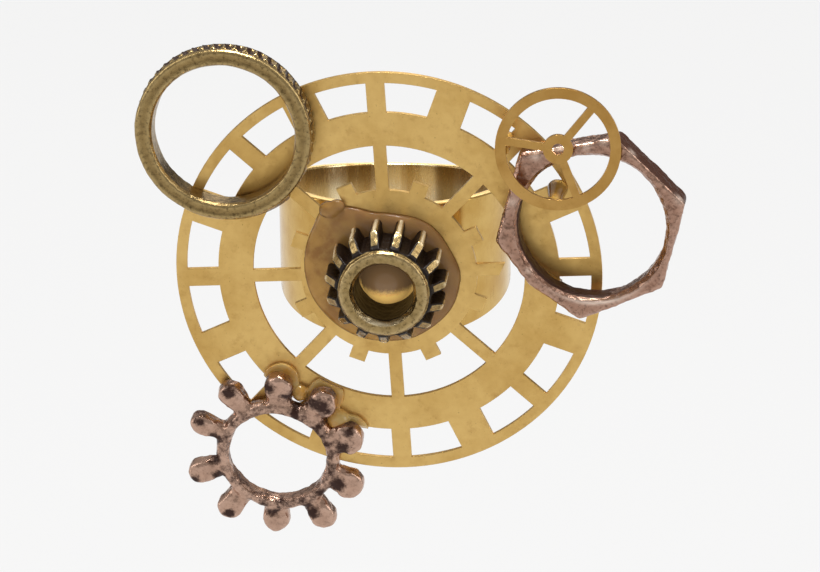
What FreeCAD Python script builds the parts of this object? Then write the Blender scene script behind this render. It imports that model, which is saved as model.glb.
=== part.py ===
import FreeCAD, Part
import math
import os

# Cog ring: a finger ring that carries a pierced dial and five loose gears.
# Row frame: origin at the centre of the finger bore, +Z along the bore axis,
# the dial faces -Y. All sizes are in millimetres and all angles in degrees.

# Finger band
bore_r = 9.05
band_wall = 0.80
band_r = bore_r + band_wall
band_front_half = 6.15
band_side_half = 4.60
band_back_half = 2.10
band_edge_round = 0.20

# Dial: its own frame has x to the right, y up and z out of its front face
dial_x = 0.53
dial_z = 0.48
dial_gap = 0.60
dial_thick = 0.40
dial_turn = 3.0
dial_r = 18.0
window_outer_r = 17.08
window_inner_r = 14.42
ring_inner_r = 11.47
narrow_bar_half = 0.78
wide_bar_half = 1.47
spoke_half = 0.54
hub_r = 7.45
hub_tooth_r = 8.53
hub_tooth_half = 0.69
stub_long = 9.85
stub_short = 9.30
bar_count = 8
bar_step = 360.0 / bar_count

# Glue bed between the band and the back of the dial
bed_half_x = 4.2
bed_half_z = 5.0

# Centre pinion and its glue
pinion_teeth = 15
pinion_turn = 1.0
pinion_r = 5.15
pinion_root_r = 3.95
pinion_tooth_round = 0.42
pinion_tooth_h = 4.45
pinion_slope_h = 2.90
pinion_slope_r = 3.98
collar_r = 3.77
collar_h = 4.85
collar_round = 0.35
pinion_bore_r = 2.50
pool_x = -0.60
pool_y = 0.10
pool_half_x = 6.60
pool_half_y = 6.05
pool_h = 1.35
fill_h = 0.90
dome_r = 2.20
dome_z = 1.20

# Knurled ring, with a plain rim at its back and a rounded face in front of the knurl
knurl_x = -12.72
knurl_y = 13.45
knurl_lift = -0.06
knurl_lean = 4.5
knurl_toward = 138.0
knurl_bore_r = 6.06
knurl_bore_bevel = 0.25
knurl_face_r = 7.50
knurl_face_round = 0.40
knurl_tip_r = 7.58
knurl_root_r = 7.30
knurl_rim_r = 7.44
knurl_rim_h = 0.30
knurl_top = 1.32
knurl_thick = 2.12
knurl_count = 50

# Six-sided ring, a rough casting: each corner as radius and angle, with a slack extra corner low on the left
hex_x = 17.64
hex_y = 4.54
hex_lift = 0.56
hex_lean = 3.8
hex_toward = 110.0
hex_bore_r = 6.17
hex_thick = 2.15
hex_corners = (
    (8.23, 71.0),
    (8.19, 14.0),
    (7.89, -45.0),
    (8.29, -100.0),
    (7.52, -138.0),
    (8.24, -172.0),
    (8.72, 131.0),
)
hex_corner_round = 0.55
hex_bevel = 0.28
hex_bore_bevel = 0.15

# Star gear: its uneven lobes, each as angle, distance of its round end from the centre, and end radius
star_x = -10.52
star_y = -16.21
star_lift = -0.17
star_lean = 8.5
star_toward = -115.0
star_bore_r = 4.22
star_root_r = 5.30
star_lobes = (
    (15.0, 6.35, 1.38),
    (50.0, 6.83, 1.20),
    (84.0, 6.73, 1.18),
    (120.0, 7.00, 0.98),
    (154.0, 7.05, 0.92),
    (194.0, 7.10, 1.02),
    (228.0, 6.95, 1.06),
    (263.0, 6.45, 1.12),
    (299.0, 6.93, 1.08),
    (334.0, 6.47, 1.32),
)
star_neck_share = 0.78
star_thick = 1.25
star_bevel = 0.22

# Small three-spoke wheel
wheel_x = 15.23
wheel_y = 11.89
wheel_lift = 2.77
wheel_lean = 8.0
wheel_toward = 57.0
wheel_r = 5.24
wheel_inner_r = 4.34
wheel_hub_r = 1.25
wheel_hole_r = 0.50
wheel_spoke_half = 0.33
wheel_spokes = 3
wheel_turn = 47.7
wheel_thick = 0.40

# Glue under the rings: the swept part of each, as inner and outer radius, two angles and height
knurl_glue = (6.3, 7.9, -100.0, -50.0, 1.1)
hex_glue = (6.3, 7.2, -158.0, -118.0, 1.6)
glue_skin = 0.25

# Glue at the star gear: a skirt round three lobes, and two beads between them at x, y and radius
star_skirt = 0.40
star_skirt_h = 0.55
star_skirt_lobes = 3
star_beads = ((-8.25, -10.70, 0.75), (-5.20, -13.20, 1.00))
star_bead_z = 0.35

# Tapered drops of glue that carry the small wheel, at x, y, foot radius and top radius
wheel_drops = ((14.7, 7.2, 0.90, 0.45), (10.8, 12.0, 0.55, 0.40))

# Small overlaps that let bars and rings join cleanly before they are fused
root_lap = 0.4
tip_lap = 0.2

os.makedirs("parts", exist_ok=True)


def vec(x, y, z=0.0):
    return FreeCAD.Vector(x, y, z)


def polar(radius, angle):
    a = math.radians(angle)
    return vec(radius * math.cos(a), radius * math.sin(a))


def disc(radius, z0, z1, x=0.0, y=0.0):
    return Part.makeCylinder(radius, z1 - z0, vec(x, y, z0))


def annulus(outer, inner, z0, z1):
    return disc(outer, z0, z1).cut(disc(inner, z0 - 1.0, z1 + 1.0))


def prism(points, z0, z1):
    wire = Part.makePolygon([vec(p.x, p.y, z0) for p in points] + [vec(points[0].x, points[0].y, z0)])
    return Part.Face(wire).extrude(vec(0, 0, z1 - z0))


def radial_section(points):
    """Face in the x-z half plane, from radius and height pairs, ready to revolve."""
    return Part.Face(Part.makePolygon([vec(r, 0.0, z) for r, z in points + points[:1]]))


def radial_bar(r0, r1, half, angle, z0, z1):
    bar = Part.makeBox(r1 - r0, 2 * half, z1 - z0, vec(r0, -half, z0))
    bar.rotate(vec(0, 0), vec(0, 0, 1), angle)
    return bar


def fuse_all(shapes):
    return shapes[0].fuse(shapes[1:]).removeSplitter()


def stand(shape, x, y, lift, lean, toward):
    """Lean a piece that lies on z = 0 and set it down on the dial."""
    shape.rotate(vec(0, 0), polar(1.0, toward + 90.0), lean)
    shape.translate(vec(x, y, lift))
    return shape


def dial_to_row(shape):
    shape = shape.copy()
    shape.rotate(vec(0, 0), vec(0, 0, 1), dial_turn)
    shape.rotate(vec(0, 0), vec(1, 0, 0), 90.0)
    shape.translate(vec(dial_x, -(band_r + dial_gap + dial_thick), dial_z))
    return shape


def edges_at(shape, z):
    """Edges that lie flat at height z."""
    return [e for e in shape.Edges if abs(e.BoundBox.ZMin - z) < 1e-4 and abs(e.BoundBox.ZMax - z) < 1e-4]


def edges_of_radius(edges, radius):
    return [e for e in edges if isinstance(e.Curve, Part.Circle) and abs(e.Curve.Radius - radius) < 1e-3]


def finger_band():
    tube = Part.makeCylinder(band_r, 20.0, vec(0, 0, -10.0)).cut(Part.makeCylinder(bore_r, 20.0, vec(0, 0, -10.0)))
    x = band_r + 2.0
    front_top, side_top, back_top = [
        vec(-x, y, z) for y, z in ((-band_r, band_front_half), (0.0, band_side_half), (band_r, band_back_half))
    ]
    front_low, side_low, back_low = [vec(p.x, p.y, -p.z) for p in (front_top, side_top, back_top)]
    outline = Part.Wire([
        Part.Arc(front_top, side_top, back_top).toShape(),
        Part.LineSegment(back_top, back_low).toShape(),
        Part.Arc(back_low, side_low, front_low).toShape(),
        Part.LineSegment(front_low, front_top).toShape(),
    ])
    band = tube.common(Part.Face(outline).extrude(vec(2 * x, 0, 0)))
    rims = [e for e in band.Edges if e.BoundBox.XLength > 5.0 or e.BoundBox.YLength > 5.0]
    return band.makeFillet(band_edge_round, rims)


def dial_wheel():
    z0 = -dial_thick
    pieces = [
        annulus(dial_r, window_outer_r, z0, 0.0),
        annulus(window_inner_r, ring_inner_r, z0, 0.0),
        disc(hub_r, z0, 0.0),
    ]
    for i in range(bar_count):
        angle = i * bar_step
        pieces.append(radial_bar(window_inner_r - root_lap, window_outer_r + tip_lap, narrow_bar_half, angle, z0, 0.0))
        between = angle + bar_step / 2
        pieces.append(radial_bar(window_inner_r - root_lap, window_outer_r + tip_lap, wide_bar_half, between, z0, 0.0))
        pieces.append(radial_bar(hub_r - root_lap, hub_tooth_r, hub_tooth_half, between, z0, 0.0))
        if i > 0:
            pieces.append(radial_bar(hub_r - root_lap, ring_inner_r + tip_lap, spoke_half, angle, z0, 0.0))
    stub = [
        vec(hub_r - root_lap, -spoke_half),
        vec(stub_short, -spoke_half),
        vec(stub_long, spoke_half),
        vec(hub_r - root_lap, spoke_half),
    ]
    pieces.append(prism(stub, z0, 0.0))
    return fuse_all(pieces)


def dial_adhesive():
    """Bed that fills the gap from the round band to the flat back of the dial."""
    back_y = -(band_r + dial_gap)
    pad = Part.makeCylinder(1.0, 2.0, vec(0, back_y, 0), vec(0, 1, 0))
    stretch = FreeCAD.Matrix()
    stretch.scale(vec(bed_half_x, 1.0, bed_half_z))
    pad = pad.transformGeometry(stretch)
    return pad.cut(Part.makeCylinder(band_r, 30.0, vec(0, 0, -15.0)))


def centre_pinion():
    pieces = [disc(pinion_root_r, 0.0, pinion_tooth_h)]
    crest = pinion_r - pinion_tooth_round
    for i in range(pinion_teeth):
        angle = pinion_turn + i * 360.0 / pinion_teeth
        pieces.append(radial_bar(pinion_root_r - root_lap, crest, pinion_tooth_round, angle, 0.0, pinion_tooth_h))
        at = polar(crest, angle)
        pieces.append(disc(pinion_tooth_round, 0.0, pinion_tooth_h, at.x, at.y))
    teeth = fuse_all(pieces)
    section = radial_section([
        (0.0, 0.0),
        (pinion_r + 0.1, 0.0),
        (pinion_r + 0.1, pinion_slope_h),
        (pinion_slope_r, pinion_tooth_h),
        (0.0, pinion_tooth_h),
    ])
    teeth = teeth.common(section.revolve(vec(0, 0), vec(0, 0, 1), 360.0))
    collar = disc(collar_r, 0.0, collar_h)
    collar = collar.makeFillet(collar_round, edges_at(collar, collar_h))
    body = teeth.fuse(collar).cut(disc(pinion_bore_r, -1.0, collar_h + 1.0))
    return body.removeSplitter()


def centre_adhesive(pinion):
    """Shallow pool round the foot of the pinion."""
    ball = Part.makeSphere(1.0)
    stretch = FreeCAD.Matrix()
    stretch.scale(vec(pool_half_x, pool_half_y, pool_h))
    pool = ball.transformGeometry(stretch)
    pool.translate(vec(pool_x, pool_y, 0.0))
    pool = pool.common(disc(hub_r, 0.0, pool_h + 1.0))
    return pool.cut(disc(pinion_bore_r + tip_lap, -1.0, pool_h + 2.0)).cut(pinion)


def bore_adhesive():
    fill = disc(pinion_bore_r, 0.0, fill_h)
    dome = Part.makeSphere(dome_r, vec(0, 0, dome_z)).common(disc(pinion_bore_r, 0.0, collar_h))
    return fill.fuse(dome).removeSplitter()


def knurled_ring():
    rim = disc(knurl_rim_r, 0.0, knurl_rim_h)
    points = []
    for i in range(knurl_count):
        points.append(polar(knurl_tip_r, i * 360.0 / knurl_count))
        points.append(polar(knurl_root_r, (i + 0.5) * 360.0 / knurl_count))
    knurl = prism(points, knurl_rim_h, knurl_top)
    face = disc(knurl_face_r, knurl_top, knurl_thick)
    face = face.makeFillet(knurl_face_round, edges_at(face, knurl_thick))
    ring = rim.fuse([knurl, face]).cut(disc(knurl_bore_r, -1.0, knurl_thick + 1.0)).removeSplitter()
    inner = edges_of_radius(edges_at(ring, knurl_thick), knurl_bore_r)
    return stand(ring.makeChamfer(knurl_bore_bevel, inner), knurl_x, knurl_y, knurl_lift, knurl_lean, knurl_toward)


def above_dial(dial, height):
    """Space that stands over the solid parts of the dial."""
    front = max(dial.Faces, key=lambda face: face.CenterOfMass.z)
    return front.extrude(vec(0, 0, height))


def glue_sector(inner, outer, start, end, z0, z1):
    """Part of a flat ring, swept from one angle to another."""
    sweep = annulus(outer, inner, z0, z1)
    middle = (start + end) / 2
    half = math.radians(end - start) / 2
    reach = 2 * outer / math.cos(half)
    wedge = prism([vec(0, 0), polar(reach, start), polar(reach, middle), polar(reach, end)], z0 - 1.0, z1 + 1.0)
    return sweep.common(wedge)


def knurled_ring_adhesive(ring):
    inner, outer, start, end, height = knurl_glue
    glue = glue_sector(inner, outer, start, end, 0.0, height)
    glue.translate(vec(knurl_x, knurl_y))
    above = disc(knurl_bore_r + 1.0, 0.0, 2 * knurl_thick)
    return glue.cut(ring).cut(stand(above, knurl_x, knurl_y, knurl_lift, knurl_lean, knurl_toward))


def hex_ring():
    block = prism([polar(r, a) for r, a in hex_corners], 0.0, hex_thick)
    corners = [e for e in block.Edges if abs(e.BoundBox.ZLength - hex_thick) < 1e-3]
    block = block.makeFillet(hex_corner_round, corners)
    block = block.makeChamfer(hex_bevel, edges_at(block, hex_thick))
    ring = block.cut(disc(hex_bore_r, -1.0, hex_thick + 1.0))
    inner = edges_of_radius(ring.Edges, hex_bore_r)
    return stand(ring.makeChamfer(hex_bore_bevel, inner), hex_x, hex_y, hex_lift, hex_lean, hex_toward)


def hex_ring_adhesive(ring):
    inner, outer, start, end, height = hex_glue
    glue = glue_sector(inner, outer, start, end, 0.0, height)
    glue.translate(vec(hex_x, hex_y))
    above = disc(outer + 1.0, glue_skin, 2 * hex_thick)
    return glue.cut(ring).cut(stand(above, hex_x, hex_y, hex_lift, hex_lean, hex_toward))


def star_lobe(angle, reach, end_r):
    """Lobe that widens from its neck to a round end."""
    root = star_bore_r + root_lap
    neck = end_r * star_neck_share
    flank = prism([vec(root, -neck), vec(reach, -end_r), vec(reach, end_r), vec(root, neck)], 0.0, star_thick)
    lobe = flank.fuse(disc(end_r, 0.0, star_thick, reach, 0.0))
    lobe.rotate(vec(0, 0), vec(0, 0, 1), angle)
    return lobe


def star_gear():
    body = fuse_all([disc(star_root_r, 0.0, star_thick)] + [star_lobe(*lobe) for lobe in star_lobes])
    body = body.makeChamfer(star_bevel, edges_at(body, star_thick))
    gear = body.cut(disc(star_bore_r, -1.0, star_thick + 1.0))
    return stand(gear, star_x, star_y, star_lift, star_lean, star_toward)


def star_gear_adhesive(gear, dial):
    """Skirt round the lobes that stand on the dial, with beads that well up between them."""
    drops = []
    for angle, reach, end_r in star_lobes[:star_skirt_lobes]:
        at = polar(reach, angle).add(vec(star_x, star_y))
        drops.append(disc(end_r + star_skirt, 0.0, star_skirt_h, at.x, at.y))
    for x, y, radius in star_beads:
        drops.append(Part.makeSphere(radius, vec(x, y, star_bead_z)))
    glue = drops[0].fuse(drops[1:])
    return glue.common(above_dial(dial, star_thick)).cut(gear)


def balance_wheel():
    pieces = [
        annulus(wheel_r, wheel_inner_r, 0.0, wheel_thick),
        disc(wheel_hub_r, 0.0, wheel_thick),
    ]
    for i in range(wheel_spokes):
        angle = wheel_turn + i * 360.0 / wheel_spokes
        pieces.append(radial_bar(0.9, wheel_inner_r + 0.2, wheel_spoke_half, angle, 0.0, wheel_thick))
    wheel = fuse_all(pieces).cut(disc(wheel_hole_r, -1.0, wheel_thick + 1.0))
    return stand(wheel, wheel_x, wheel_y, wheel_lift, wheel_lean, wheel_toward)


def balance_wheel_adhesive(wheel, ring):
    """Drops that bridge from the dial up to the small wheel."""
    above = disc(2 * wheel_r, wheel_thick / 2, 2 * wheel_r)
    above = stand(above, wheel_x, wheel_y, wheel_lift, wheel_lean, wheel_toward)
    drops = [Part.makeCone(foot, top, wheel_lift + 1.0, vec(x, y)) for x, y, foot, top in wheel_drops]
    return Part.makeCompound([drop.cut(above).cut(wheel).cut(ring) for drop in drops])


band = finger_band()
dial = dial_wheel()
pinion = centre_pinion()
knurled = knurled_ring()
six_sided = hex_ring()
star = star_gear()
wheel = balance_wheel()

on_dial = {
    "dial_wheel": dial,
    "centre_pinion": pinion,
    "centre_adhesive": centre_adhesive(pinion),
    "bore_adhesive": bore_adhesive(),
    "knurled_ring": knurled,
    "knurled_ring_adhesive": knurled_ring_adhesive(knurled),
    "hex_ring": six_sided,
    "hex_ring_adhesive": hex_ring_adhesive(six_sided),
    "star_gear": star,
    "star_gear_adhesive": star_gear_adhesive(star, dial),
    "balance_wheel": wheel,
    "balance_wheel_adhesive": balance_wheel_adhesive(wheel, six_sided),
}

band.exportStep("parts/finger_band.step")
dial_adhesive().exportStep("parts/dial_adhesive.step")
for name, shape in on_dial.items():
    dial_to_row(shape).exportStep("parts/" + name + ".step")
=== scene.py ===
"""Looks for the cog ring: a finger ring with a pierced dial and five loose gears glued to it."""
import math

import bmesh
import bpy
import numpy as np
from mathutils import Matrix, Vector, noise


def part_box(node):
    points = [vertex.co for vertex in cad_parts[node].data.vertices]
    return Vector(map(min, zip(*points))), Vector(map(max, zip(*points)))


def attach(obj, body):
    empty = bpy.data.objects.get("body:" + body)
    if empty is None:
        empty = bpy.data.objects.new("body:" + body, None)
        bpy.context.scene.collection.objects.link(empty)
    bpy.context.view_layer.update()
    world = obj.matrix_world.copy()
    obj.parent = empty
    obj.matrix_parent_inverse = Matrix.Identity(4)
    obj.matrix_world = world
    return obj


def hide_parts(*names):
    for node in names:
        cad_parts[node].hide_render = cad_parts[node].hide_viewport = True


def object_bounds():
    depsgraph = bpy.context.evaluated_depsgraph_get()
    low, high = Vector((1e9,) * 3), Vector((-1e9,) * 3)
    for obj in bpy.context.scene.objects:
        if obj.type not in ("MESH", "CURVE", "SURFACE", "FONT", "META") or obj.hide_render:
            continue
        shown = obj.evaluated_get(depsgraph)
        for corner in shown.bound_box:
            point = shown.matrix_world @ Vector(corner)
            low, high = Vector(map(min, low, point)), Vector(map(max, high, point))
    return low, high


MM = 0.001

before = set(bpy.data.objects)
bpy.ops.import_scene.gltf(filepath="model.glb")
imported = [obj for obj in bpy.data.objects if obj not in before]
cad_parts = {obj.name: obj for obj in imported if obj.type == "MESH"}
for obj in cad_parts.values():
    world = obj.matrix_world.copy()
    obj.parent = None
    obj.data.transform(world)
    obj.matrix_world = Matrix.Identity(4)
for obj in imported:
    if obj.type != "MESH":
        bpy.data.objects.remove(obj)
cad_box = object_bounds()

# The dial's own frame, in mm: x to the right, y up, z out of its front face, turned a little on the band
DIAL_TURN = 3.0
dial_low, dial_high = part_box("dial_wheel")
DIAL_CENTRE = Vector(((dial_low.x + dial_high.x) / 2, dial_low.y, (dial_low.z + dial_high.z) / 2))
DIAL_TO_ROW = (
    Matrix.Translation(DIAL_CENTRE)
    @ Matrix.Rotation(math.radians(90), 4, "X")
    @ Matrix.Rotation(math.radians(DIAL_TURN), 4, "Z")
    @ Matrix.Scale(MM, 4)
)


def leaning(x, y, lift, lean, toward):
    """Matrix from a leaning piece's own frame, in mm, to the row."""
    axis = Vector((math.cos(math.radians(toward + 90)), math.sin(math.radians(toward + 90)), 0))
    return DIAL_TO_ROW @ Matrix.Translation((x, y, lift)) @ Matrix.Rotation(math.radians(lean), 4, axis)


# Sizes and places that the looks share with the solids, in mm and degrees
BAND_BORE = 9.05
PINION_BORE, PINION_FRONT = 2.50, 4.85
KNURLED_BORE, KNURLED_FRONT = 6.06, 2.12
SIX_SIDED_BORE, SIX_SIDED_FRONT = 6.17, 2.15
STAR_BORE, STAR_FRONT = 4.22, 1.25
KNURL_PLACE = leaning(-12.72, 13.45, -0.06, 4.5, 138)
HEX_PLACE = leaning(17.64, 4.54, 0.56, 3.8, 110)
STAR_PLACE = leaning(-10.52, -16.21, -0.17, 8.5, -115)


# ---------------------------------------------------------------- materials

class Shader:
    """A short way to write a node tree. Textures are in millimetres of the row frame."""

    def __init__(self, name):
        self.material = bpy.data.materials.new(name)
        self.material.use_nodes = True
        self.tree = self.material.node_tree
        self.surface = self.tree.nodes["Principled BSDF"]
        place = self.node("ShaderNodeTexCoord")
        grow = self.node("ShaderNodeVectorMath", operation="SCALE")
        self.link(place.outputs["Object"], grow.inputs[0])
        grow.inputs["Scale"].default_value = 1 / MM
        self.where = grow.outputs[0]

    def node(self, kind, **settings):
        made = self.tree.nodes.new(kind)
        for key, value in settings.items():
            setattr(made, key, value)
        return made

    def link(self, a, b):
        self.tree.links.new(a, b)

    def feed(self, value, socket):
        if hasattr(value, "is_output"):
            self.link(value, socket)
        else:
            socket.default_value = value

    def noise(self, scale, detail=4.0, roughness=0.6, stretch=None):
        where = self.where
        if stretch:
            scaled = self.node("ShaderNodeVectorMath", operation="MULTIPLY")
            self.link(where, scaled.inputs[0])
            scaled.inputs[1].default_value = stretch
            where = scaled.outputs[0]
        made = self.node("ShaderNodeTexNoise")
        self.link(where, made.inputs["Vector"])
        made.inputs["Scale"].default_value = scale
        made.inputs["Detail"].default_value = detail
        made.inputs["Roughness"].default_value = roughness
        return made.outputs["Fac"]

    def band(self, value, low, high, to_low=0.0, to_high=1.0):
        """Smooth step of value from low to high."""
        made = self.node("ShaderNodeMapRange", interpolation_type="SMOOTHSTEP")
        self.feed(value, made.inputs["Value"])
        made.inputs["From Min"].default_value = low
        made.inputs["From Max"].default_value = high
        made.inputs["To Min"].default_value = to_low
        made.inputs["To Max"].default_value = to_high
        return made.outputs["Result"]

    def math(self, operation, a, b=0.0):
        made = self.node("ShaderNodeMath", operation=operation)
        self.feed(a, made.inputs[0])
        self.feed(b, made.inputs[1])
        return made.outputs[0]

    def mix(self, amount, a, b):
        made = self.node("ShaderNodeMix", data_type="RGBA")
        self.feed(amount, made.inputs["Factor"])
        self.feed(a, made.inputs["A"])
        self.feed(b, made.inputs["B"])
        return made.outputs["Result"]

    def split(self, vector):
        """The three parts of a vector."""
        made = self.node("ShaderNodeSeparateXYZ")
        self.link(vector, made.inputs[0])
        return made.outputs

    def attribute(self, name):
        return self.node("ShaderNodeAttribute", attribute_name=name).outputs["Fac"]

    def bump(self, height, strength, distance_mm, corner_mm=0.0):
        """Fine relief. corner_mm breaks the sharp corners of the shape under it."""
        made = self.node("ShaderNodeBump")
        if corner_mm:
            corner = self.node("ShaderNodeBevel", samples=4)
            corner.inputs["Radius"].default_value = corner_mm * MM
            self.link(corner.outputs["Normal"], made.inputs["Normal"])
        self.feed(height, made.inputs["Height"])
        made.inputs["Strength"].default_value = strength
        made.inputs["Distance"].default_value = distance_mm * MM
        self.link(made.outputs["Normal"], self.surface.inputs["Normal"])

    def set(self, **values):
        for key, value in values.items():
            self.feed(value, self.surface.inputs[key.replace("_", " ")])
        return self.material


def rgb(red, green, blue):
    """Linear colour from 0 to 255 display values."""
    return (*[(c / 255) ** 2.2 for c in (red, green, blue)], 1.0)


def cut_brass(name, light, deep, roughness=0.40):
    """Thin sheet brass, etched and a little stained."""
    s = Shader(name)
    clouds = s.band(s.noise(0.16, 5.0, 0.62), 0.36, 0.66)
    colour = s.mix(clouds, light, deep)
    blotches = s.band(s.noise(0.9, 6.0, 0.7), 0.52, 0.74, 0.0, 0.30)
    colour = s.mix(blotches, colour, rgb(150, 104, 48))
    specks = s.band(s.noise(5.5, 2.0, 0.5), 0.68, 0.80, 0.0, 0.5)
    colour = s.mix(specks, colour, rgb(96, 64, 30))
    brushed = s.noise(7.0, 3.0, 0.6, stretch=(0.35, 1.0, 2.2))
    s.bump(brushed, 0.25, 0.02, corner_mm=0.06)
    return s.set(
        Base_Color=colour,
        Metallic=1.0,
        Roughness=s.band(s.noise(1.4, 5.0, 0.65), 0.3, 0.7, roughness - 0.07, roughness + 0.10),
    )


def polished_brass(name):
    """Bright outside, with a painted highlight on the upper rim and painted reflection streaks in the bore,
    darker on its right.
    """
    s = Shader(name)
    clouds = s.band(s.noise(0.25, 4.0, 0.6), 0.35, 0.68)
    colour = s.mix(clouds, rgb(211, 176, 107), rgb(195, 156, 87))
    scuffs = s.band(s.noise(2.6, 8.0, 0.75, stretch=(1.0, 1.0, 0.18)), 0.52, 0.72)
    colour = s.mix(s.math("MULTIPLY", scuffs, 0.30), colour, rgb(150, 108, 52))
    x, y, _ = s.split(s.where)
    from_axis = s.math("SQRT", s.math("ADD", s.math("MULTIPLY", x, x), s.math("MULTIPLY", y, y)))
    inside = s.band(from_axis, BAND_BORE + 0.10, BAND_BORE + 0.30, 1.0, 0.0)
    # painted reflection in the bore: vertical light and dark streaks, darker towards the right
    reflection_streaks = s.band(s.noise(0.35, 2.5, 0.5, stretch=(1.0, 1.0, 0.03)), 0.42, 0.58)
    bore_reflection = s.mix(reflection_streaks, rgb(238, 219, 176), rgb(188, 157, 101))
    bore_reflection = s.mix(s.band(x, 2.2, 3.2, 0.0, 0.75), bore_reflection, rgb(92, 66, 34))
    colour = s.mix(s.math("MULTIPLY", inside, 0.9), colour, bore_reflection)
    # painted highlight: faces that look up turn lighter and less metallic
    upward = s.split(s.node("ShaderNodeNewGeometry").outputs["Normal"])["Z"]
    rim = s.band(upward, 0.75, 0.95)
    colour = s.mix(rim, colour, rgb(252, 214, 144))
    s.bump(s.noise(3.0, 6.0, 0.7, stretch=(1.0, 1.0, 0.15)), 0.20, 0.02)
    rough = s.math("ADD", s.math("MULTIPLY", scuffs, 0.18), s.math("MULTIPLY", inside, 0.12))
    rough = s.math("ADD", rough, 0.15)
    return s.set(
        Base_Color=colour,
        Metallic=s.math("SUBTRACT", 1.0, s.math("MULTIPLY", rim, 0.7)),
        Roughness=rough,
    )


# Colours of the painted highlights on cast brass and copper
BRASS_HIGHLIGHT_PAINT = (255, 240, 204)
COPPER_HIGHLIGHT_PAINT = (250, 226, 208)


def antique(name, worn, body, hollow, reach, roughness=0.27, bright=BRASS_HIGHLIGHT_PAINT, mottle=0.62):
    """Cast metal, darkened and then rubbed bright on its raised parts, with painted highlights where a mesh
    marks them.

    reach is the depth in mm that is black, and mottle is how strong the fine dark grain is.
    """
    s = Shader(name)
    relief = s.attribute("relief")
    # the stain value holds real stains, and on the six-sided ring painted shade
    stain_and_shade = s.attribute("stain_and_shade")
    painted_highlight = s.attribute("painted_highlight")
    grain = s.noise(3.2, 8.0, 0.7)
    ragged = s.noise(1.1, 7.0, 0.68)
    fine = s.noise(9.0, 3.0, 0.6)
    off_grain = s.math("SUBTRACT", grain, 0.5)
    uneven = s.math("ADD", relief, s.math("MULTIPLY", off_grain, reach * 1.4))
    colour = s.mix(s.band(ragged, 0.38, 0.66, 0.0, 0.40), body, s.mix(0.5, body, hollow))
    colour = s.mix(s.band(uneven, -reach * 1.6, reach * 0.4, 0.9, 0.0), colour, worn)
    colour = s.mix(s.band(grain, 0.50, 0.68, 0.0, mottle), colour, hollow)
    edge = s.math("ADD", stain_and_shade, s.math("MULTIPLY", s.math("SUBTRACT", ragged, 0.5), 2.0))
    edge = s.math("ADD", edge, s.math("MULTIPLY", off_grain, 2.0 * mottle))
    stained_and_shaded = s.math("MULTIPLY", s.band(edge, 0.42, 0.95), s.band(stain_and_shade, 0.02, 0.20))
    dark = s.math("MAXIMUM", s.band(uneven, reach * 0.35, reach * 1.3), stained_and_shaded)
    colour = s.mix(dark, colour, hollow)
    # painted highlight: a light, less metallic colour where the mesh marks it
    colour = s.mix(painted_highlight, colour, rgb(*bright))
    s.bump(s.math("ADD", s.math("MULTIPLY", grain, 0.8), s.math("MULTIPLY", fine, 0.5)), 0.45, 0.05)
    matt = s.math("ADD", s.math("MULTIPLY", dark, 0.80), s.math("MULTIPLY", painted_highlight, 0.55))
    return s.set(
        Base_Color=colour,
        Metallic=s.math("MAXIMUM", s.math("SUBTRACT", 1.0, matt), 0.1),
        Roughness=s.math("ADD", roughness, s.math("MULTIPLY", dark, 0.15)),
        Specular_IOR_Level=0.25,
    )


def clear_glue(name, tint, deep, rim, cover, shine=0.4, shade=None):
    """Clear glue, see-through where it faces the eye, more opaque at its steep rim, which gets a painted
    dark reflection.

    cover is how far it hides what is under it, and shade darkens its right side.
    """
    s = Shader(name)
    facing = s.node("ShaderNodeLayerWeight").outputs["Facing"]
    steep = s.band(facing, 0.32, 0.82)
    haze = s.band(s.noise(0.6, 4.0, 0.6), 0.36, 0.64)
    s.bump(s.noise(0.6, 3.0, 0.5), 0.22, 0.12)
    veil = s.math("ADD", s.math("MULTIPLY", haze, 0.18), cover)
    body = s.mix(haze, tint, deep)
    if shade:
        x, _, z = s.split(s.where)
        across = s.math("ADD", x, s.math("MULTIPLY", z, 0.5))
        body = s.mix(s.band(across, -3.6, 0.6, 0.0, 0.65), body, shade)
    return s.set(
        # painted reflection: the rim colour where the glue's edge turns away from the eye
        Base_Color=s.mix(steep, body, rim),
        Alpha=s.math("MINIMUM", s.math("ADD", s.math("MULTIPLY", steep, 0.80 - cover), veil), 1.0),
        Roughness=s.band(s.noise(2.0, 4.0, 0.6), 0.5, 0.8, 0.12, 0.30),
        Specular_IOR_Level=0.15,
        Coat_Weight=shine,
        Coat_Roughness=0.03,
        IOR=1.5,
    )


def glowing_glue(name, top, glow, turn_z):
    """Glue over a bright hollow, coloured by painted light: a dim reflection above and a gold glow low down
    around turn_z mm.
    """
    s = Shader(name)
    sparkle = s.noise(3.4, 5.0, 0.75)
    wobble = s.math("MULTIPLY", s.math("SUBTRACT", sparkle, 0.5), 0.9)
    low = s.math("ADD", s.split(s.where)["Z"], wobble)
    # painted light: gold glow low down, dim reflection above
    colour = s.mix(s.band(low, turn_z - 0.55, turn_z + 0.35), glow, top)
    s.bump(s.noise(0.8, 2.0, 0.5), 0.10, 0.08)
    # painted glow: the glue gives off a faint light of its own colour
    return s.set(
        Base_Color=colour,
        Emission_Color=colour,
        Emission_Strength=0.32,
        Roughness=0.25,
        Specular_IOR_Level=0.25,
        Coat_Weight=0.25,
        Coat_Roughness=0.03,
        IOR=1.5,
    )


# ---------------------------------------------------------------- meshes

def new_piece(name, mesh, material, node):
    piece = bpy.data.objects.new(name, mesh)
    bpy.context.scene.collection.objects.link(piece)
    mesh.materials.clear()
    mesh.materials.append(material)
    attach(piece, "root")
    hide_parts(node)
    return piece


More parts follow.
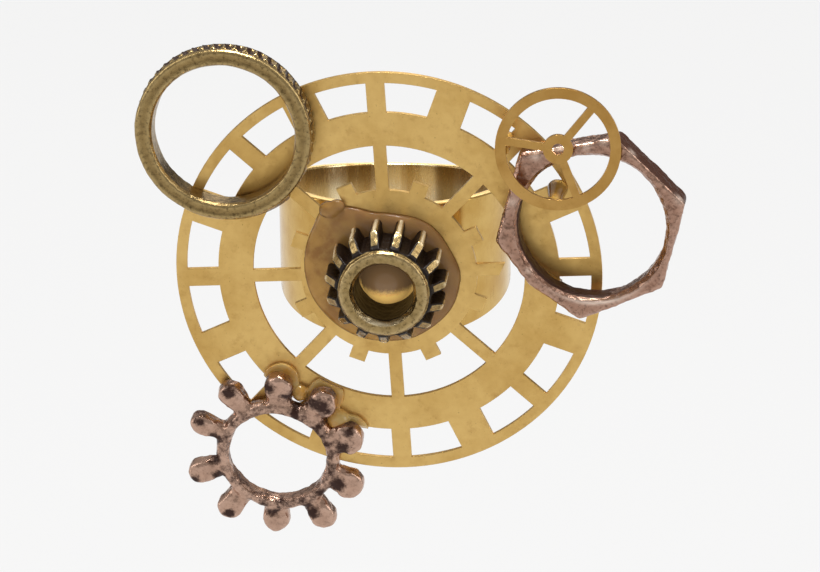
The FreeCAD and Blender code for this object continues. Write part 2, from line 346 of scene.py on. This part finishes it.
def baked(mesh, modifiers):
    """The mesh with these modifiers applied, as a new mesh."""
    carrier = bpy.data.objects.new("carrier", mesh)
    bpy.context.scene.collection.objects.link(carrier)
    for kind, settings in modifiers:
        modifier = carrier.modifiers.new(kind.lower(), kind)
        for key, value in settings.items():
            setattr(modifier, key, value)
    depsgraph = bpy.context.evaluated_depsgraph_get()
    made = bpy.data.meshes.new_from_object(carrier.evaluated_get(depsgraph))
    bpy.data.objects.remove(carrier)
    return made


def welded(node):
    """A copy of a CAD node's mesh with its seams joined."""
    bm = bmesh.new()
    bm.from_mesh(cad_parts[node].data)
    bmesh.ops.remove_doubles(bm, verts=bm.verts, dist=0.0005 * MM)
    mesh = bpy.data.meshes.new(node + "_copy")
    bm.to_mesh(mesh)
    bm.free()
    return mesh


def points_of(mesh):
    co = np.zeros(len(mesh.vertices) * 3)
    mesh.vertices.foreach_get("co", co)
    return co.reshape(-1, 3)


def set_points(mesh, points):
    mesh.vertices.foreach_set("co", points.ravel())
    mesh.update()


def edges_of(mesh):
    pairs = np.zeros(len(mesh.edges) * 2, dtype=np.int64)
    mesh.edges.foreach_get("vertices", pairs)
    return pairs.reshape(-1, 2)


def normals_of(mesh):
    normals = np.zeros(len(mesh.vertices) * 3)
    mesh.vertex_normals.foreach_get("vector", normals)
    return normals.reshape(-1, 3)


def smoothed(points, pairs, rounds, share=0.5):
    """Each point moves part of the way to the mean of its neighbours, several times."""
    count = len(points)
    a, b = pairs[:, 0], pairs[:, 1]
    degree = np.bincount(a, minlength=count) + np.bincount(b, minlength=count)
    degree = np.maximum(degree, 1)[:, None]
    for _ in range(rounds):
        total = np.empty_like(points)
        for axis in range(3):
            column = points[:, axis]
            total[:, axis] = np.bincount(a, column[b], count) + np.bincount(b, column[a], count)
        points = points + share * (total / degree - points)
    return points


def store_values(mesh, name, values):
    """Keeps one number for each point, for a material to read."""
    stored = mesh.attributes.new(name, "FLOAT", "POINT")
    stored.data.foreach_set("value", values.astype(np.float32))


def add_relief(mesh, rounds):
    """Stores how far each point lies below (+) or above (-) the smoothed surface, in mm."""
    points = points_of(mesh)
    flat = smoothed(points, edges_of(mesh), rounds)
    store_values(mesh, "relief", np.sum((flat - points) * normals_of(mesh), axis=1) / MM)


def wear(mesh, depth, size, seed):
    """Raises and sinks the surface by up to depth, in lumps of about the given size, both in mm."""
    points = points_of(mesh)
    offset = Vector((seed, 0.7 * seed, 1.3 * seed))
    lumps = np.array([noise.noise(Vector(p) / (size * MM) + offset) for p in points])
    set_points(mesh, points + normals_of(mesh) * (depth * MM * lumps)[:, None])


def own_coordinates(mesh, place):
    """Radius, angle in degrees and height of each point in a piece's own frame, in mm."""
    back = np.array(place.inverted())
    x, y, z = (points_of(mesh) @ back[:3, :3].T + back[:3, 3]).T
    return np.hypot(x, y), np.degrees(np.arctan2(y, x)), z


def ramp(value, low, high):
    """0 below low, 1 above high, straight between them."""
    return np.clip((value - low) / (high - low), 0.0, 1.0)


def bell(value, centre, width):
    """1 at the centre, falling away smoothly on both sides."""
    return np.exp(-(((value - centre) / width) ** 2))


def sculpt(mesh, push):
    """Moves the surface out by push, in mm for each point."""
    set_points(mesh, points_of(mesh) + normals_of(mesh) * (push * MM)[:, None])


def flare(mesh, place, bore, front, depth, widen):
    """Opens a bore towards its front edge, by widen over the last depth, in mm in the piece's own frame."""
    forth, back = np.array(place), np.array(place.inverted())
    own = points_of(mesh) @ back[:3, :3].T + back[:3, 3]
    wanted = bore + widen * ramp(own[:, 2], front - depth, front)
    grow = np.maximum(wanted / np.maximum(np.hypot(own[:, 0], own[:, 1]), 0.5 * bore), 1.0)
    own[:, :2] *= grow[:, None]
    set_points(mesh, own @ forth[:3, :3].T + forth[:3, 3])


def kept_in_box(mesh, node):
    """Holds every point inside the CAD node's own box."""
    low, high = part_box(node)
    set_points(mesh, np.clip(points_of(mesh), np.array(low), np.array(high)))


def cast_mesh(node, carve, lumps, voxel, rounds, relief_rounds):
    """A CAD node's shape with the soft edges and uneven skin of a small casting.

    carve shapes it further, and lumps holds the depth and size of each kind of lump, in mm, and a seed.
    """
    mesh = baked(welded(node), [("REMESH", {"mode": "VOXEL", "voxel_size": voxel * MM})])
    set_points(mesh, smoothed(points_of(mesh), edges_of(mesh), rounds))
    carve(mesh)
    for depth, size, seed in lumps:
        wear(mesh, depth, size, seed)
    kept_in_box(mesh, node)
    add_relief(mesh, relief_rounds)
    mesh.shade_smooth()
    return mesh


def soft_spots(mesh, place, spots):
    """Soft round spots on a face, each as angle, radius, size and strength in the piece's own frame."""
    radius, angle, _ = own_coordinates(mesh, place)
    x, y = radius * np.cos(np.radians(angle)), radius * np.sin(np.radians(angle))
    values = np.zeros(len(radius))
    for at, reach, size, strength in spots:
        cx, cy = reach * math.cos(math.radians(at)), reach * math.sin(math.radians(at))
        values = np.maximum(values, strength * np.exp(-((x - cx) ** 2 + (y - cy) ** 2) / size**2))
    return values


def sheet_mesh(node):
    """A CAD node cut from sheet, every facet flat."""
    mesh = welded(node)
    mesh.shade_flat()
    return mesh


def blob(bm, centre, radii):
    """An ellipsoid in the dial's frame, in mm, to be melted into a glue mesh."""
    stretch = Matrix.Diagonal((*radii, 1.0))
    place = DIAL_TO_ROW @ Matrix.Translation(Vector(centre)) @ stretch
    bmesh.ops.create_icosphere(bm, subdivisions=3, radius=1.0, matrix=place)


def glue_mesh(node, blobs, voxel, rounds):
    """A CAD node and extra drops, run together into one soft skin."""
    bm = bmesh.new()
    bm.from_mesh(welded(node))
    for centre, radii in blobs:
        blob(bm, centre, radii)
    mesh = bpy.data.meshes.new(node + "_drops")
    bm.to_mesh(mesh)
    bm.free()
    mesh = baked(mesh, [("REMESH", {"mode": "VOXEL", "voxel_size": voxel * MM})])
    set_points(mesh, smoothed(points_of(mesh), edges_of(mesh), rounds))
    mesh.shade_smooth()
    return mesh


# ---------------------------------------------------------------- the pieces

def carve_pinion(mesh):
    """The front edge of the bore is rubbed to a slope."""
    flare(mesh, DIAL_TO_ROW, PINION_BORE, PINION_FRONT, depth=0.58, widen=0.35)


def carve_star(mesh):
    """A raised rim round the bore, and a dip between it and each lobe."""
    radius, _, height = own_coordinates(mesh, STAR_PLACE)
    rim, dip = 0.04 * bell(radius, 4.6, 0.3), 0.20 * bell(radius, 5.6, 0.45)
    sculpt(mesh, 0.04 + ramp(height, 0.7, 1.0) * (rim - dip))
    flare(mesh, STAR_PLACE, STAR_BORE, STAR_FRONT, depth=0.32, widen=0.18)


def carve_knurled(mesh):
    """A groove between the knurl and the face, and a slight hollow along the face."""
    radius, _, height = own_coordinates(mesh, KNURL_PLACE)
    groove = 0.18 * ramp(radius, 7.0, 7.2) * bell(height, 1.45, 0.12)
    hollow = 0.06 * ramp(height, 1.85, 2.05) * bell(radius, 6.80, 0.25)
    sculpt(mesh, -groove - hollow)
    flare(mesh, KNURL_PLACE, KNURLED_BORE, KNURLED_FRONT, depth=0.35, widen=0.20)


def carve_six_sided(mesh):
    """The inner front edge is rubbed to a slope."""
    flare(mesh, HEX_PLACE, SIX_SIDED_BORE, SIX_SIDED_FRONT, depth=0.60, widen=0.36)


# The pinion's teeth, how far the first one is turned from the dial's x, and the cuts of the knurl
TEETH = 15
TOOTH_TURN = 1.0
KNURLS = 50

# Dark patches on the star gear, as angle, radius and size in its own frame
STAR_STAINS = (
    (52, 6.8, 1.5), (92, 7.0, 0.9), (78, 6.2, 0.8), (10, 5.9, 1.2), (22, 7.0, 0.8), (-30, 5.6, 1.2),
    (-66, 5.8, 1.1), (-130, 7.3, 0.7), (-100, 5.5, 0.8), (-158, 5.4, 0.9), (-178, 5.4, 0.9), (118, 7.4, 0.9),
    (160, 5.5, 0.9), (196, 7.6, 0.7), (150, 7.4, 0.7), (-45, 4.9, 0.7), (66, 4.9, 0.9), (38, 4.8, 0.9),
)

# Painted highlights on the six-sided ring, as angle, radius, size and strength in its own frame; one stands
# for the reflection seen through the small wheel's hub hole
SIX_SIDED_HIGHLIGHTS = (
    (108, 7.15, 0.50, 0.95), (91, 7.24, 0.45, 0.55), (80, 7.75, 0.40, 0.60), (124, 7.80, 0.45, 0.55),
    (160, 6.90, 0.40, 0.35), (17, 7.80, 0.45, 0.30), (-146, 6.60, 0.30, 0.40), (60, 7.50, 0.35, 0.25),
)

# Directions that two of the ring's flats face, in degrees in its own frame
UPPER_RIGHT_SIDE = 42.5
LEFT_SIDE = 159.5


def paint_six_sided_shade_and_highlights(mesh):
    """Painted shade on the upper right wall, the left edge and the lower left of the bore, painted
    highlights on spots.
    """
    radius, angle, height = own_coordinates(mesh, HEX_PLACE)
    back = ramp(-height, -2.0, -1.75)
    upper_right = ramp(angle, 8, 18) * ramp(-angle, -70, -62) * ramp(radius, 6.6, 6.8)
    corner = ramp(radius * np.cos(np.radians(angle - UPPER_RIGHT_SIDE)), 7.00, 7.12)
    left = ramp(radius * np.cos(np.radians(angle - LEFT_SIDE)), 6.75, 6.95) * ramp(angle, 158, 166)
    around = np.abs((angle + 320) % 360 - 180)
    bore = ramp(-around, -75, -55) * ramp(-radius, -6.42, -6.25)
    # painted shade on these walls and on the lower left of the bore
    store_values(mesh, "stain_and_shade", 0.55 * left + 2.2 * corner + back * (2.4 * upper_right + 1.5 * bore))
    # painted highlights on the lower inner lip and on the listed spots
    lip = bell(angle, -88, 26) * bell(radius, 6.62, 0.20) * ramp(height, 1.5, 1.8)
    spots = soft_spots(mesh, HEX_PLACE, SIX_SIDED_HIGHLIGHTS) * ramp(height, 1.6, 1.9)
    store_values(mesh, "painted_highlight", np.maximum(0.75 * lip, spots))


def stain_star(mesh):
    """Dark patches over a thin stain that is stronger near the bore."""
    radius, _, _ = own_coordinates(mesh, STAR_PLACE)
    patches = soft_spots(mesh, STAR_PLACE, [(*stain_and_shade, 1.0) for stain_and_shade in STAR_STAINS])
    store_values(mesh, "stain_and_shade", np.maximum(0.22 + 0.40 * ramp(-radius, -5.5, -5.0), patches))


def darken_pinion_and_paint_highlights(mesh):
    """Black between the teeth, in the bore and round the neck of the collar, painted highlights on crests
    and lip.
    """
    radius, angle, height = own_coordinates(mesh, DIAL_TO_ROW)
    pitch = 360.0 / TEETH
    off = np.abs((angle - TOOTH_TURN + pitch / 2) % pitch - pitch / 2)
    flank = ramp(np.radians(off) * radius, 0.22, 0.40)
    below = ramp(-height, -4.5, -4.2) * ramp(radius, 3.0, 3.4)
    bore = ramp(-radius, -2.75, -2.60) * ramp(-height, -4.42, -4.25)
    neck = bell(radius, 4.02, 0.16) * ramp(-height, -4.66, -4.50)
    store_values(mesh, "stain_and_shade", 2.2 * np.maximum.reduce([flank * below, bore, neck]))
    # painted highlights along the lower tooth crests and the lower part of the bore's lip
    crest = ramp(-np.radians(off) * radius, -0.24, -0.08) * ramp(radius, 4.85, 5.0)
    crest *= ramp(-height, -3.4, -2.8)
    lip = ramp(-radius, -2.92, -2.80) * ramp(height, 4.40, 4.60) * bell(angle, -100, 32)
    store_values(mesh, "painted_highlight", np.maximum(0.8 * crest, 0.75 * lip))


def stain_knurled(mesh):
    """Dark slanting cuts of the knurl."""
    radius, angle, height = own_coordinates(mesh, KNURL_PLACE)
    cuts = 0.5 + 0.5 * np.cos(np.radians(angle * KNURLS) + 2.6 * height)
    side = ramp(radius, 7.15, 7.3) * ramp(-height, -1.6, -1.45)
    store_values(mesh, "stain_and_shade", 2.2 * side * ramp(cuts, 0.30, 0.75))


def build_sheet():
    """The dial, the small wheel and the band, which keep their CAD shapes."""
    dial_brass = cut_brass("dial_brass", rgb(221, 184, 114), rgb(205, 166, 97))
    wheel_brass = cut_brass("wheel_brass", rgb(200, 158, 92), rgb(182, 138, 74), roughness=0.36)
    new_piece("dial", sheet_mesh("dial_wheel"), dial_brass, "dial_wheel")
    new_piece("spoked_wheel", sheet_mesh("balance_wheel"), wheel_brass, "balance_wheel")
    hoop = welded("finger_band")
    hoop.shade_smooth()
    hoop.set_sharp_from_angle(angle=math.radians(30))
    new_piece("band", hoop, polished_brass("band_brass"), "finger_band")


def build_castings():
    """The pinion and the three worn rings."""
    old_brass = antique("old_brass", rgb(184, 160, 112), rgb(146, 122, 80), rgb(44, 27, 16), reach=0.07)
    dark_brass = antique("pinion_brass", rgb(190, 166, 120), rgb(150, 126, 82), rgb(27, 17, 10), reach=0.06)
    brown_copper = antique(
        "old_copper", rgb(186, 152, 134), rgb(164, 127, 108), rgb(64, 39, 28),
        reach=0.09, roughness=0.26, bright=COPPER_HIGHLIGHT_PAINT,
    )
    rosy_copper = antique(
        "rosy_copper", rgb(196, 163, 144), rgb(182, 148, 128), rgb(58, 36, 28),
        reach=0.09, roughness=0.24, bright=COPPER_HIGHLIGHT_PAINT, mottle=0.26,
    )

    lumps = [(0.05, 1.2, 3.0), (0.03, 0.4, 9.0)]
    pinion = cast_mesh("centre_pinion", carve_pinion, lumps, voxel=0.07, rounds=3, relief_rounds=60)
    darken_pinion_and_paint_highlights(pinion)
    new_piece("pinion", pinion, dark_brass, "centre_pinion")

    lumps = [(0.04, 2.0, 5.0), (0.02, 0.5, 2.0)]
    knurled = cast_mesh("knurled_ring", carve_knurled, lumps, voxel=0.065, rounds=2, relief_rounds=50)
    stain_knurled(knurled)
    new_piece("knurled", knurled, old_brass, "knurled_ring")

    lumps = [(0.08, 1.8, 4.0), (0.055, 0.6, 8.0), (0.03, 0.3, 2.0)]
    six_sided = cast_mesh("hex_ring", carve_six_sided, lumps, voxel=0.08, rounds=4, relief_rounds=60)
    paint_six_sided_shade_and_highlights(six_sided)
    new_piece("six_sided", six_sided, brown_copper, "hex_ring")

    lumps = [(0.12, 2.0, 6.0), (0.07, 0.7, 1.0), (0.03, 0.35, 9.0)]
    star = cast_mesh("star_gear", carve_star, lumps, voxel=0.08, rounds=16, relief_rounds=60)
    stain_star(star)
    new_piece("star", star, rosy_copper, "star_gear")


# The pool of glue round the pinion, in the dial's frame: its outline as angle and radius, how near the
# axis it starts, its height, and the lump at its rim as centres and radii
POOL_EDGE = (
    (0, 6.1), (20, 5.7), (45, 5.8), (75, 5.4), (100, 5.6), (118, 7.0), (130, 8.1), (142, 7.6),
    (158, 7.4), (180, 7.2), (205, 6.9), (235, 6.6), (270, 6.3), (300, 6.2), (325, 6.2), (345, 6.1),
)
POOL_INNER = 3.2
POOL_HEIGHT = 1.05
POOL_LUMP = (((-4.5, 6.0, 0.35), (0.95, 0.75, 0.60)), ((-3.9, 6.3, 0.35), (0.70, 0.60, 0.55)))


def pool_mesh():
    """The puddle round the pinion: a domed skin with a steep edge, closed below, and a lump at its rim."""
    angles = np.arange(0, 360, 2.0)
    table = np.array(POOL_EDGE)
    edge = np.interp(angles, table[:, 0], table[:, 1], period=360)
    kernel = np.ones(7) / 7
    edge = np.convolve(np.concatenate((edge[-3:], edge, edge[:3])), kernel, "valid")
    rows = []
    for share in np.linspace(0, 1, 25):
        rows.append((share, POOL_HEIGHT * (1 - share**5) ** 0.5 * (1 - 0.35 * share)))
    rows.append((0.0, 0.0))
    bm = bmesh.new()
    grid = []
    for share, height in rows:
        ring = []
        for angle, outer in zip(np.radians(angles), edge):
            radius = POOL_INNER + share * (outer - POOL_INNER)
            spot = Vector((radius * math.cos(angle), radius * math.sin(angle), height))
            ring.append(bm.verts.new(DIAL_TO_ROW @ spot))
        grid.append(ring)
    for upper, lower in zip(grid, grid[1:] + grid[:1]):
        for i in range(len(angles)):
            j = (i + 1) % len(angles)
            bm.faces.new((upper[i], lower[i], lower[j], upper[j]))
    bmesh.ops.recalc_face_normals(bm, faces=bm.faces)
    for centre, radii in POOL_LUMP:
        blob(bm, centre, radii)
    mesh = bpy.data.meshes.new("pool")
    bm.to_mesh(mesh)
    bm.free()
    mesh = baked(mesh, [("REMESH", {"mode": "VOXEL", "voxel_size": 0.09 * MM})])
    set_points(mesh, smoothed(points_of(mesh), edges_of(mesh), 6))
    wear(mesh, depth=0.10, size=2.5, seed=7.0)
    mesh.shade_smooth()
    return mesh


# Drops of glue between the star's lobes, as centre and radii in the dial's frame
STAR_DROPS = [((-8.20, -10.72, 0.60), (0.62, 0.58, 0.66)), ((-5.15, -13.22, 0.55), (0.95, 0.82, 0.74))]


def build_glue():
    amber = clear_glue(
        "amber_glue", rgb(216, 165, 88), rgb(162, 115, 58), rgb(84, 56, 44),
        cover=0.60, shade=rgb(150, 112, 76),
    )
    dome = glowing_glue("dome_glue", rgb(126, 98, 68), rgb(255, 204, 116), turn_z=0.05)
    pale = clear_glue("pale_glue", rgb(206, 164, 92), rgb(170, 124, 58), rgb(104, 72, 34), cover=0.22)
    bead = clear_glue(
        "bead_glue", rgb(250, 214, 134), rgb(226, 168, 82), rgb(150, 100, 44), cover=0.52, shine=1.0
    )
    drop = clear_glue(
        "drop_glue", rgb(232, 192, 104), rgb(196, 148, 68), rgb(136, 92, 40), cover=0.80, shine=0.5
    )
    new_piece("pool", pool_mesh(), amber, "centre_adhesive")
    # Each with its node, extra drops, voxel in mm, rounds of smoothing and material
    pieces = (
        ("bore_bead", "bore_adhesive", [], 0.09, 8, dome),
        ("bed", "dial_adhesive", [], 0.15, 6, pale),
        ("knurled_glue", "knurled_ring_adhesive", [], 0.10, 8, pale),
        ("six_sided_glue", "hex_ring_adhesive", [], 0.10, 8, pale),
        ("star_glue", "star_gear_adhesive", STAR_DROPS, 0.07, 10, bead),
        ("spoked_wheel_glue", "balance_wheel_adhesive", [], 0.09, 6, drop),
    )
    for name, node, blobs, voxel, rounds, material in pieces:
        new_piece(name, glue_mesh(node, blobs, voxel, rounds), material, node)


# ---------------------------------------------------------------- the studio

# Angles in degrees, the lens in mm, and the rest in metres
CAMERA_AZIMUTH = 5.82
CAMERA_ELEVATION = 22.93
CAMERA_ROLL = -0.98
CAMERA_DISTANCE = 0.600
CAMERA_LENS = 313.2
AIM_FROM_DIAL = Vector((1.81, -0.32, -1.07)) * MM
FLOOR_SIZE = 8.0
FLOOR_DROP = 0.05
FLAG_WIDTH = 3.6
FLAG_HEIGHT = 0.26
FLAG_CENTRE = (0, 0.9, 0.07)
WORLD_STRENGTH = 0.48


def build_camera():
    data = bpy.data.cameras.new("camera")
    data.lens = CAMERA_LENS
    data.sensor_width = 36.0
    data.clip_start = 0.01
    data.clip_end = 50.0
    camera = bpy.data.objects.new("camera", data)
    bpy.context.scene.collection.objects.link(camera)
    turn = (
        Matrix.Rotation(math.radians(CAMERA_AZIMUTH), 4, "Z")
        @ Matrix.Rotation(math.radians(90 - CAMERA_ELEVATION), 4, "X")
        @ Matrix.Rotation(math.radians(CAMERA_ROLL), 4, "Z")
    )
    aim = DIAL_CENTRE + AIM_FROM_DIAL
    back = turn @ Vector((0, 0, CAMERA_DISTANCE))
    camera.matrix_world = Matrix.Translation(aim + back) @ turn
    bpy.context.scene.camera = camera


def softbox(name, azimuth, elevation, distance, width, height, power, colour=(1, 1, 1)):
    """A rectangular light that faces the dial from a direction given like the camera's."""
    data = bpy.data.lights.new(name, "AREA")
    data.shape = "RECTANGLE"
    data.size = width
    data.size_y = height
    data.energy = power
    data.color = colour
    light = bpy.data.objects.new(name, data)
    bpy.context.scene.collection.objects.link(light)
    turn = (
        Matrix.Rotation(math.radians(azimuth), 4, "Z")
        @ Matrix.Rotation(math.radians(90 - elevation), 4, "X")
    )
    light.matrix_world = Matrix.Translation(DIAL_CENTRE + turn @ Vector((0, 0, distance))) @ turn


def build_floor():
    bm = bmesh.new()
    bmesh.ops.create_grid(bm, x_segments=8, y_segments=8, size=FLOOR_SIZE / 2)
    mesh = bpy.data.meshes.new("floor")
    bm.to_mesh(mesh)
    bm.free()
    floor = bpy.data.objects.new("floor", mesh)
    floor.location.z = cad_box[0].z - FLOOR_DROP
    bpy.context.scene.collection.objects.link(floor)
    s = Shader("floor_paper")
    clouds = s.band(s.noise(0.004, 2.0, 0.5), 0.3, 0.7)
    tone = s.mix(clouds, (0.125, 0.125, 0.125, 1), (0.120, 0.120, 0.120, 1))
    s.set(Base_Color=tone, Roughness=0.9, Specular_IOR_Level=0.0)
    s.set(Emission_Color=(1, 1, 1, 1), Emission_Strength=0.705)
    mesh.materials.append(s.material)


def build_flag():
    """A dark board behind the subject, out of the picture, that upward-facing edges reflect."""
    bm = bmesh.new()
    bmesh.ops.create_grid(bm, x_segments=4, y_segments=4, size=0.5)
    mesh = bpy.data.meshes.new("flag")
    bm.to_mesh(mesh)
    bm.free()
    flag = bpy.data.objects.new("flag", mesh)
    upright = Matrix.Rotation(math.radians(90), 4, "X") @ Matrix.Diagonal((FLAG_WIDTH, FLAG_HEIGHT, 1, 1))
    flag.matrix_world = Matrix.Translation(FLAG_CENTRE) @ upright
    bpy.context.scene.collection.objects.link(flag)
    s = Shader("flag_cloth")
    weave = s.mix(s.noise(0.02, 3.0, 0.5), (0.030, 0.022, 0.018, 1), (0.045, 0.033, 0.026, 1))
    mesh.materials.append(s.set(Base_Color=weave, Roughness=0.95, Specular_IOR_Level=0.1))


def build_studio():
    world = bpy.data.worlds.new("studio")
    world.use_nodes = True
    backdrop = world.node_tree.nodes["Background"]
    backdrop.inputs["Color"].default_value = (1.0, 0.98, 0.96, 1)
    backdrop.inputs["Strength"].default_value = WORLD_STRENGTH
    scene = bpy.context.scene
    scene.world = world
    scene.view_settings.view_transform = "Standard"
    softbox("overhead", azimuth=0, elevation=96, distance=0.6, width=0.20, height=0.15, power=5.2)
    softbox(
        "behind", azimuth=180, elevation=27, distance=0.8, width=0.26, height=0.12, power=0.25,
        colour=(1.0, 0.95, 0.88),
    )
    softbox("left", azimuth=-75, elevation=25, distance=0.8, width=0.18, height=0.9, power=1.5)
    softbox("right", azimuth=80, elevation=30, distance=0.8, width=0.25, height=0.9, power=2.0)
    build_flag()


build_sheet()
build_castings()
build_glue()
build_camera()
build_floor()
build_studio()
